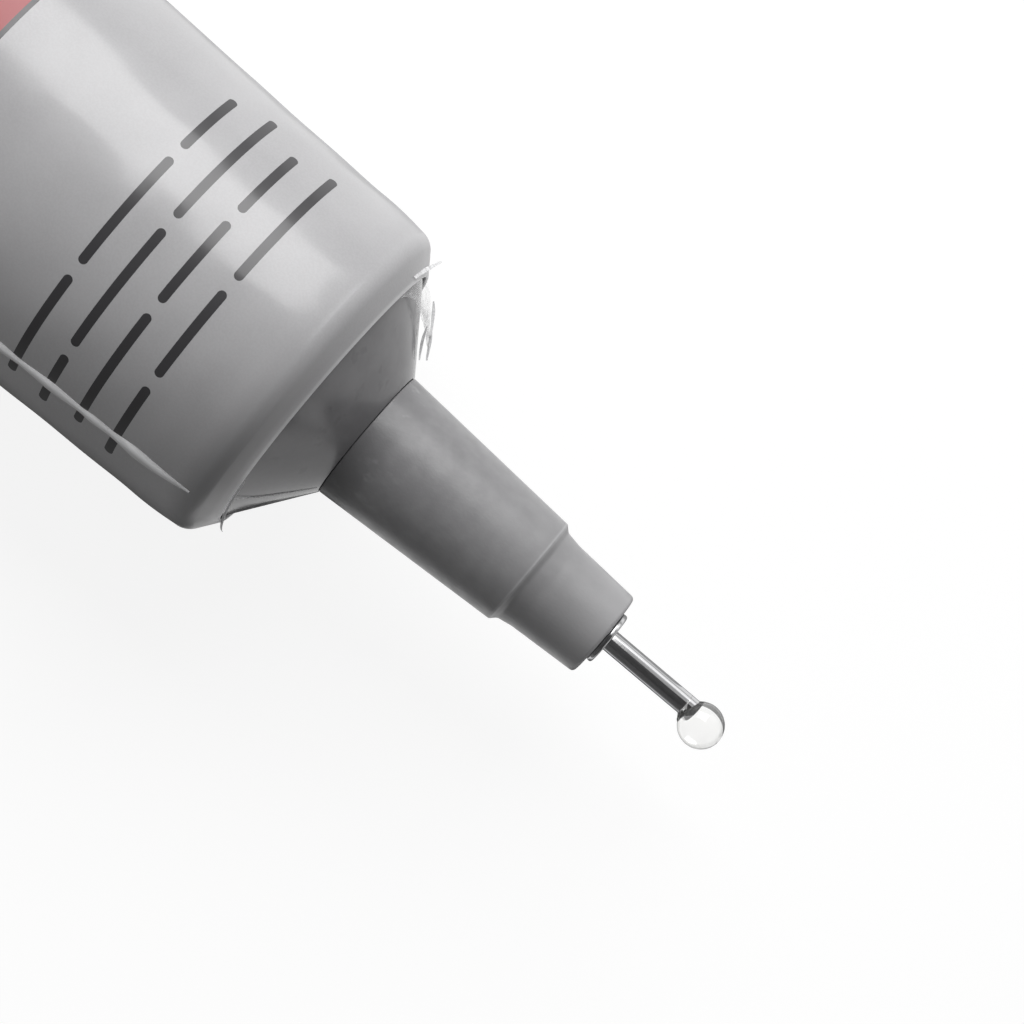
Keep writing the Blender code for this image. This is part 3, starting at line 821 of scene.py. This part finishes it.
def flattening(height):
    """How far the sleeve's section has gone from a circle, at 0, to two walls pressed together."""
    along = np.clip((-round_end - height) / (SLEEVE_LENGTH - round_end), 0, 1)
    return sealed * along * (EARLY_FLATTENING + (1 - EARLY_FLATTENING) * along)


def dents(height, angle):
    """How deep the soft wall is pushed in."""
    depth = np.zeros(np.broadcast(height, angle).shape)
    for dent_height, dent_angle, length, width, deep in DENTS:
        along = (height - dent_height * MM) / (length * MM)
        aside = (angle - math.radians(dent_angle) + math.pi) % (2 * math.pi) - math.pi
        away = along ** 2 + (aside * tube_radius / (width * MM)) ** 2
        depth = depth + deep * MM * np.exp(-away)
    return depth


def ripples(height, angle):
    """How deep the film's ripples lie in front."""
    fade_in = np.clip((height - RIPPLE_START) / RIPPLE_FADE_IN, 0, 1)
    fade_out = np.clip((RIPPLE_END - height) / RIPPLE_FADE_OUT, 0, 1)
    along = 2 * math.pi * height / RIPPLE_LENGTH
    across = 2 * math.pi * angle * tube_radius / RIPPLE_WIDTH
    rows = np.sin(along + RIPPLE_SWAY_ALONG * np.sin(RIPPLE_SWAY_ALONG_RATE * across))
    columns = np.cos(across + RIPPLE_SWAY_ACROSS * np.sin(RIPPLE_SWAY_ACROSS_RATE * along))
    return RIPPLE_DEPTH * (fade_in * fade_out) * (1 + rows * columns)


def crimp(height):
    """How deep the seal's ribs are pressed in at a height."""
    along = (height - tail_end) / SEAL_LENGTH
    wave = 0.5 - 0.5 * np.cos(2 * math.pi * CRIMP_RIBS * along)
    return np.where((along > 0) & (along < 1), CRIMP_DEPTH * wave, 0)


def sleeve_rings(height, angle, inset):
    """Points on the sleeve, this far inside its skin, at heights by angles."""
    height = np.asarray(height)[:, None]
    flat = flattening(height)
    drawn = DRAW_IN * np.clip((height + round_end) / DRAW_IN_LENGTH, 0, 1) ** 2
    half_height = tube_radius * (1 - flat)
    half_width = half_height + math.pi * tube_radius * flat / 2
    pushed = (dents(height, angle) + ripples(height, angle)) * np.clip(half_height / DENT_FADE, 0, 1)
    inset = inset + drawn + np.minimum(pushed, DENT_LIMIT * half_height)
    power = 2 / (2 + SECTION_SQUARENESS * flat + SEAL_SQUARENESS * flat**SEAL_ONSET)
    side = np.sin(angle)
    up = np.cos(angle)
    aside = (half_width - inset) * np.sign(side) * np.abs(side) ** power
    rise = (half_height - inset - crimp(height)) * np.sign(up) * np.abs(up) ** power
    along = np.broadcast_to(corner_x + height, aside.shape)
    return np.stack([along, aside, half_height + rise], axis=-1)


def corner_arc(inset, steps):
    """(radius, height) points round the corner, from the straight wall to the cone."""
    reach = CORNER_FILLET - inset
    angles = np.linspace(0, CONE_ANGLE, steps + 1)[1:]
    across = corner_radius - CORNER_FILLET
    return np.stack([across + reach * np.cos(angles), reach * np.sin(angles) - corner_tangent], axis=-1)


def lip_round(steps):
    """(radius, height) points round the sleeve's cut edge, from its skin to its inside."""
    half = SLEEVE_WALL / 2
    centre = np.array((lip_radius, cone_height(lip_radius, 0))) - half * (cone_out + cone_ahead)
    points = []
    for angle in np.linspace(0, math.pi, steps + 1):
        points.append(centre + half * (math.cos(angle) * cone_out + math.sin(angle) * cone_ahead))
    return np.array(points)


def sleeve(finish):
    """The sleeve: crimped tail, soft dented walls, and a lip turned over the shoulder."""
    angle = turn(ROUND)
    heights = np.concatenate([
        np.linspace(tail_end, -SLEEVE_LENGTH, SEAL_STEPS, endpoint=False),
        np.linspace(-SLEEVE_LENGTH, FRONT_START, BACK_STEPS, endpoint=False),
        np.linspace(FRONT_START, -corner_tangent, FRONT_STEPS),
    ])
    mouth = np.concatenate([
        corner_arc(0, CORNER_STEPS),
        lip_round(LIP_STEPS),
        corner_arc(SLEEVE_WALL, INNER_CORNER_STEPS)[::-1],
    ])
    inside = np.linspace(-corner_tangent, -SLEEVE_LENGTH + INSIDE_TAIL, INSIDE_STEPS)
    rings = np.concatenate([
        sleeve_rings(heights, angle, 0.0),
        at(mouth[:, 1:2], angle, mouth[:, 0:1]),
        sleeve_rings(inside, angle, SLEEVE_WALL),
    ])
    across = np.linspace(-math.pi, math.pi, ROUND + 1) * tube_radius / MM
    skin = np.concatenate([heights, mouth[:CORNER_STEPS + 1, 1]]) / MM
    along = np.concatenate([skin, np.full(len(rings) - len(skin), CUT_MARK)])
    mesh = ring_mesh("sleeve", rings, caps=True, uv=(across, along))
    add_piece("sleeve", mesh, finish, "tube", "silver_laminate", "tube_sleeve")


def shoulder(finish):
    """The moulded shoulder: skirt, cone, seat and threaded neck."""
    skirt = corner_radius - head_inset
    skirt_inside = corner_radius - inner_inset
    under_seat = seat_height - SHOULDER_WALL
    corner = corner_arc(head_inset, INNER_CORNER_STEPS)[::-1]
    outline = rounded([
        (neck_radius, neck_top, NECK_TOP_ROUND),
        (neck_radius, seat_height, NECK_FOOT_ROUND),
        (seat_radius, seat_height, SEAT_ROUND),
        *((radius, height, 0) for radius, height in corner),
        (skirt, -corner_tangent, 0),
        (skirt, skirt_end, SKIRT_ROUND),
        (skirt_inside, skirt_end, SKIRT_ROUND),
        (skirt_inside, cone_height(skirt_inside, inner_inset), 0),
        (cone_radius(under_seat, inner_inset), under_seat, 0),
        (neck_bore_radius, under_seat, NECK_BORE_ROUND),
        (neck_bore_radius, neck_top, NECK_BORE_ROUND),
    ])
    ridge = thread_mesh("ridge", 0.0, seat_height + THREAD_FOOT, thread_turns, THREAD_FADE)
    mesh = combined(turned_mesh("shoulder", outline, ROUND), ridge, "UNION")
    add_piece("shoulder", mesh, finish, "tube", "shoulder_plastic", "shoulder_head")


def nozzle(finish):
    """The nozzle: rounded base, tapering sides, stepped front and threaded socket."""
    slope = math.tan(NOZZLE_TAPER)
    base = seat_height + NOZZLE_SEAT_GAP
    step = nozzle_base_radius - (nozzle_step - nozzle_base - NOZZLE_BASE_ROUND) * slope
    chamfer_height = nozzle_step + NOZZLE_STEP_CHAMFER
    front_height = chamfer_height + NOZZLE_STEP_HOLLOW
    front = step - NOZZLE_STEP
    tip = front - (nozzle_end - front_height) * slope
    socket = neck_radius + THREAD_GAP
    hub_hole = hub_radius + FIT_GAP
    outline = rounded([
        (tip, nozzle_end, NOZZLE_TIP_ROUND),
        (front, front_height, NOZZLE_HOLLOW_ROUND),
        (front + NOZZLE_STEP * NOZZLE_CHAMFER_REST, chamfer_height, NOZZLE_CHAMFER_ROUND),
        (step, nozzle_step, NOZZLE_STEP_ROUND),
        (nozzle_base_radius, base, NOZZLE_BASE_ROUND),
        (socket, base, NOZZLE_SOCKET_ROUND),
        (socket, nozzle_ledge, 0),
        (NOZZLE_CAVITY / 2, nozzle_ledge, 0),
        (needle_bore_radius, stop_base, 0),
        (needle_bore_radius, stop_top, 0),
        (needle_hole_radius, stop_top, 0),
        (needle_hole_radius, hub_seat, 0),
        (hub_hole, hub_seat, 0),
        (hub_hole, nozzle_end, HUB_ROUND),
    ])
    turns_below = math.ceil(THREAD_FOOT / THREAD_PITCH) + 1
    start = seat_height + THREAD_FOOT - turns_below * THREAD_PITCH
    groove = thread_mesh("groove", THREAD_GAP, start, turns_below + thread_turns + GROOVE_RUN_OUT, 0)
    mesh = combined(turned_mesh("nozzle", outline, ROUND), groove, "DIFFERENCE")
    add_piece("nozzle", mesh, finish, "nozzle", "nozzle_plastic", "nozzle_body")


def needle(finish):
    """The steel needle, its edges just broken."""
    outline = rounded([
        (needle_radius, needle_tip, NEEDLE_EDGE_ROUND),
        (needle_radius, needle_start, NEEDLE_EDGE_ROUND),
        (needle_bore_radius, needle_start, NEEDLE_EDGE_ROUND),
        (needle_bore_radius, needle_tip, NEEDLE_EDGE_ROUND),
    ], SMALL_ARC_STEPS)
    mesh = turned_mesh("needle", outline, SMALL_ROUND)
    add_piece("needle", mesh, finish, "nozzle", "needle_steel", "needle_tube")


def collar(finish):
    """The collar: a rounded flange on the nozzle's end, with a hub inside it."""
    face = collar_end - COLLAR_THICKNESS
    hub_base = hub_seat + FIT_GAP
    outline = rounded([
        (needle_hole_radius, collar_end, COLLAR_HOLE_ROUND),
        (flange_radius, collar_end, COLLAR_FRONT_ROUND),
        (flange_radius, face, COLLAR_BACK_ROUND),
        (hub_radius, face, 0),
        (hub_radius, hub_base, HUB_ROUND),
        (needle_hole_radius, hub_base, 0),
    ])
    mesh = turned_mesh("collar", outline, SMALL_ROUND)
    add_piece("collar", mesh, finish, "nozzle", "needle_steel", "needle_collar")


def drop(finish):
    """The drop on the needle's tip, which creeps back along the needle and hangs to one side."""
    ball = drop_centre - drop_radius * np.cos(np.linspace(DROP_OPENING, math.pi, DROP_STEPS))
    creep = np.linspace(ball[0] - MENISCUS_LENGTH, ball[0], MENISCUS_STEPS, endpoint=False)
    heights = np.concatenate([creep, ball])
    sphere = np.sqrt(np.clip(drop_radius**2 - (heights - drop_centre) ** 2, 0, None))
    wetting = np.clip((drop_centre - heights) / drop_radius + MENISCUS_END, 0, 1)
    wetted = (needle_radius + MENISCUS_FILM) * wetting
    apart = np.clip(0.5 + 0.5 * (sphere - wetted) / MENISCUS_BLEND, 0, 1)
    radius = wetted + (sphere - wetted) * apart + MENISCUS_BLEND * apart * (1 - apart)
    radius[-1] = 0
    radius[0] = needle_radius - NEEDLE_WALL / 2
    hanging = np.clip((heights - creep[0]) / (2 * MENISCUS_LENGTH), 0, 1)
    aside = drop_aside * hanging ** 2 * (3 - 2 * hanging)
    rings = at(heights[:, None], turn(SMALL_ROUND), radius[:, None])
    rings[..., 1] += aside[:, None]
    mesh = ring_mesh("drop", rings, caps=True)
    add_piece("drop", mesh, finish, "nozzle", "clear_glue", "glue_drop")


def glue_inside(finish):
    """The glue in the sleeve, and the thread of it in the nozzle and the needle."""
    lining = inner_inset + FIT_GAP + GLUE_GAP + INSERT_WALL
    shoulder_radius = corner_radius - lining
    top = seat_height - SHOULDER_WALL - FIT_GAP - GLUE_GAP - INSERT_WALL
    column = neck_bore_radius - GLUE_GAP
    angle = turn(SMALL_ROUND)
    heights = np.linspace(-SLEEVE_LENGTH + GLUE_TAIL, skirt_end - GLUE_GAP, GLUE_STEPS)
    ends = np.array([
        (shoulder_radius, skirt_end - GLUE_GAP),
        (shoulder_radius, cone_height(shoulder_radius, lining)),
        (cone_radius(top, lining), top),
        (column, top),
        (column, neck_top),
    ])
    rings = np.concatenate([
        sleeve_rings(heights, angle, SLEEVE_WALL + GLUE_GAP),
        at(ends[:, 1:2], angle, ends[:, 0:1]),
    ])
    body = ring_mesh("glue_body", rings, caps=True)
    add_piece("glue_body", body, finish, "tube", "clear_glue", "glue_fill")

    bore = needle_bore_radius / 2
    outline = rounded([
        (0, needle_tip - GLUE_GAP, 0),
        (bore, needle_tip - GLUE_GAP, GLUE_TIP_ROUND),
        (bore, stop_base - GLUE_GAP, GLUE_STOP_ROUND),
        (NOZZLE_CAVITY / 2 - GLUE_GAP, nozzle_ledge, GLUE_LEDGE_ROUND),
        (0, nozzle_ledge, 0),
    ])
    core = turned_mesh("glue_core", outline, SMALL_ROUND)
    add_piece("glue_core", core, finish, "nozzle_core", "clear_glue", "nozzle_glue")


def film(finish):
    """The film's torn edge over the shoulder."""
    angle = turn(ROUND)
    flap = np.exp(-((angle - math.pi / 2) / FILM_FLAP_TURN) ** 2)
    tatters = 0
    for size, count, sway, sways in TATTER_WAVES:
        tatters = tatters + size * np.sin(count * angle + sway * np.sin(sways * angle))
    reach = FILM_REST * FILM_TUCK + (FILM_FLAP + FILM_TATTERS * tatters) * flap
    share = np.linspace(0, 1, FILM_STEPS)[:, None]
    ruffle = RUFFLE_DEPTH * share * np.sin(RUFFLE_COUNT * angle + RUFFLE_LEAN * share)
    standout = flap * (FILM_STANDOUT * np.clip(share / FILM_RISE, 0, 1) + ruffle) - SLEEVE_WALL / 2
    along = reach * share - FILM_TUCK
    radius = lip_radius + along * cone_ahead[0] + standout * cone_out[0]
    height = cone_height(lip_radius, 0) + along * cone_ahead[1] + standout * cone_out[1]
    under = at(height - FILM_THICKNESS * cone_out[1], angle, radius - FILM_THICKNESS * cone_out[0])
    rings = np.concatenate([at(height, angle, radius), under[::-1]])
    torn = np.concatenate([share[:, 0], share[::-1, 0], share[:1, 0]])
    mesh = ring_mesh("film", rings, loop=True, uv=(np.linspace(-1, 1, ROUND + 1), torn))
    add_piece("film", mesh, finish, "tube", "clear_film", "shoulder_film")


def film_strands(finish):
    """The film's loose strands."""
    for number, rows in enumerate(STRANDS, 1):
        height, angle, radius, width = eased(rows, STRAND_STEPS).T
        path = at(height * MM, np.radians(angle), radius * MM)
        out = at(0, np.radians(angle), 1.0) - at(0, 0, 0) + np.array((0, 0, STRAND_FACE_UP))
        out /= np.linalg.norm(out, axis=1, keepdims=True)
        name = f"film_strand_{number}"
        mesh = strand_mesh(name, path, out, width * MM, STRAND_THICKNESS)
        add_piece(name, mesh, finish, "tube", "clear_film", "shoulder_film")


def film_fold(finish):
    """The film's long fold, which lies on the sleeve."""
    height, share = eased(FOLD, FOLD_STEPS).T
    height = height * MM
    angle = FOLD_END_ANGLE + FOLD_LEAN * (height - height[-1])
    pairs = list(zip(height, angle))
    path = np.array([sleeve_rings([h], np.array([a]), 0.0)[0, 0] for h, a in pairs])
    out = path - np.array([sleeve_rings([h], np.array([a]), MM)[0, 0] for h, a in pairs])
    out /= np.linalg.norm(out, axis=1, keepdims=True)
    mesh = strand_mesh("film_fold", path, out, share * FOLD_WIDTH, FOLD_THICKNESS)
    add_piece("film_fold", mesh, finish, "tube", "clear_film", "shoulder_film")


def floor_finish():
    """White floor with a painted pool of light, which pales away from the object, and which keeps a
    soft shadow.
    """
    finish = Finish("floor", Base_Color=FLOOR_WHITE, Roughness=1.0)
    away = finish.node("VectorMath", operation="LENGTH")
    finish.feed(away.inputs[0], finish.node("TexCoord").outputs["Object"])
    # A painted pool of light: white near the object, pale further off
    light_pool = finish.ramp(away.outputs["Value"], WHITE_RADIUS, PALE_RADIUS, 1.0, PALE)
    glow = finish.node("Emission")
    finish.feed(glow.inputs["Strength"], finish.times(light_pool, FLOOR_GLOW))
    tint = finish.node("CombineColor")
    grey = finish.times(light_pool, FLOOR_SHADE)
    for channel in tint.inputs:
        finish.feed(channel, grey)
    shade = finish.node("BsdfDiffuse")
    finish.feed(shade.inputs["Color"], tint.outputs[0])
    both = finish.node("AddShader")
    finish.feed(both.inputs[0], glow.outputs[0])
    finish.feed(both.inputs[1], shade.outputs[0])
    surface = finish.background(finish.shader.outputs[0], both.outputs[0])
    finish.feed(finish.tree.nodes["Material Output"].inputs["Surface"], surface)
    return finish.material


def add_stage(name, mesh, finish, unseen=()):
    """A floor or a card, which isn't part of the object, and which these rays don't see."""
    piece = bpy.data.objects.new(name, mesh)
    bpy.context.scene.collection.objects.link(piece)
    mesh.materials.append(finish)
    for ray in unseen:
        setattr(piece, "visible_" + ray, False)


def floor():
    """A wide round floor under the object."""
    mesh = bpy.data.meshes.new("floor")
    form = bmesh.new()
    bmesh.ops.create_circle(form, cap_ends=True, segments=FLOOR_ROUND, radius=FLOOR_RADIUS)
    form.to_mesh(mesh)
    form.free()
    add_stage("floor", mesh, floor_finish())


def card(name, grey, unseen, strips):
    """Plain strips that show in mirrors or in glass, and give no light and no shadow."""
    corners = []
    for left, right, *edges in strips:
        corners += [(corner_x + x, y, z) for y, z in edges for x in (left, right)]
    faces = [(4 * k, 4 * k + 1, 4 * k + 3, 4 * k + 2) for k in range(len(strips))]
    mesh = bpy.data.meshes.new(name)
    mesh.from_pydata(corners, [], faces)
    finish = Finish(name, Base_Color=(grey, grey, grey), Roughness=1.0)
    add_stage(name, mesh, finish.material, ("camera", "diffuse", "shadow", unseen))


def soft_lamp(name, size, power, place, lean):
    """A rectangular lamp that leans from straight down towards -Y."""
    light = bpy.data.lights.new(name, "AREA")
    light.shape = "RECTANGLE"
    light.size, light.size_y = size
    light.energy = power
    lamp = bpy.data.objects.new(name, light)
    lamp.location = place
    lamp.rotation_euler = (-lean, 0, 0)
    lamp.visible_camera = False
    bpy.context.scene.collection.objects.link(lamp)


def room():
    """A dim room round the object, with a pale backdrop."""
    world = bpy.data.worlds.new("room")
    bpy.context.scene.world = world
    world.use_nodes = True
    world.node_tree.nodes.clear()
    nodes = Nodes(world.node_tree)
    greys = []
    for grey in (ROOM, BACKDROP):
        shader = nodes.node("Background")
        nodes.feed(shader.inputs["Color"], (grey, grey, grey))
        greys.append(shader.outputs[0])
    nodes.feed(nodes.node("OutputWorld").inputs["Surface"], nodes.background(*greys))


def camera():
    """The photograph's view, from straight above."""
    lens = bpy.data.cameras.new("camera")
    lens.lens = LENS
    lens.sensor_width = SENSOR
    lens.clip_start = LENS_NEAR
    viewer = bpy.data.objects.new("camera", lens)
    viewer.location = (corner_x + VIEW_AHEAD, VIEW_ASIDE, axis_z + VIEW_HEIGHT)
    viewer.rotation_euler = (0, 0, VIEW_TURN)
    bpy.context.scene.collection.objects.link(viewer)
    bpy.context.scene.camera = viewer


def studio():
    """White floor, a large soft light and a weaker strip from +Y, cards, a dim room and the camera."""
    bpy.context.scene.view_settings.view_transform = "Standard"
    floor()
    for settings in CARDS:
        card(*settings)
    across = SOFTBOX_AWAY * math.sin(SOFTBOX_LEAN)
    up = SOFTBOX_AWAY * math.cos(SOFTBOX_LEAN)
    soft_lamp("softbox", SOFTBOX_SIZE, SOFTBOX_POWER, (SOFTBOX_X, across, axis_z + up), SOFTBOX_LEAN)
    soft_lamp("strip", STRIP_SIZE, STRIP_POWER, STRIP_PLACE, STRIP_LEAN)
    room()
    camera()


sleeve(laminate())
shoulder(shoulder_plastic())
nozzle(nozzle_plastic())
needle(steel("needle_steel", NEEDLE_STEEL, 0.10, 0.18, DRAWN))
collar(steel("collar_steel", COLLAR_STEEL, 0.16, 0.26, EVEN))
drop(drop_glue())
glue_inside(clear_glue())
aluminium = foil()
for node in ("barrier_insert", "foil_seal"):
    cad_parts[node].data.materials.clear()
    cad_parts[node].data.materials.append(aluminium)
film(clear_film())
film_strands(film_edge("film_edge", 0.55, EVEN))
film_fold(film_edge("film_fold", 0.85, CREASED))
studio()
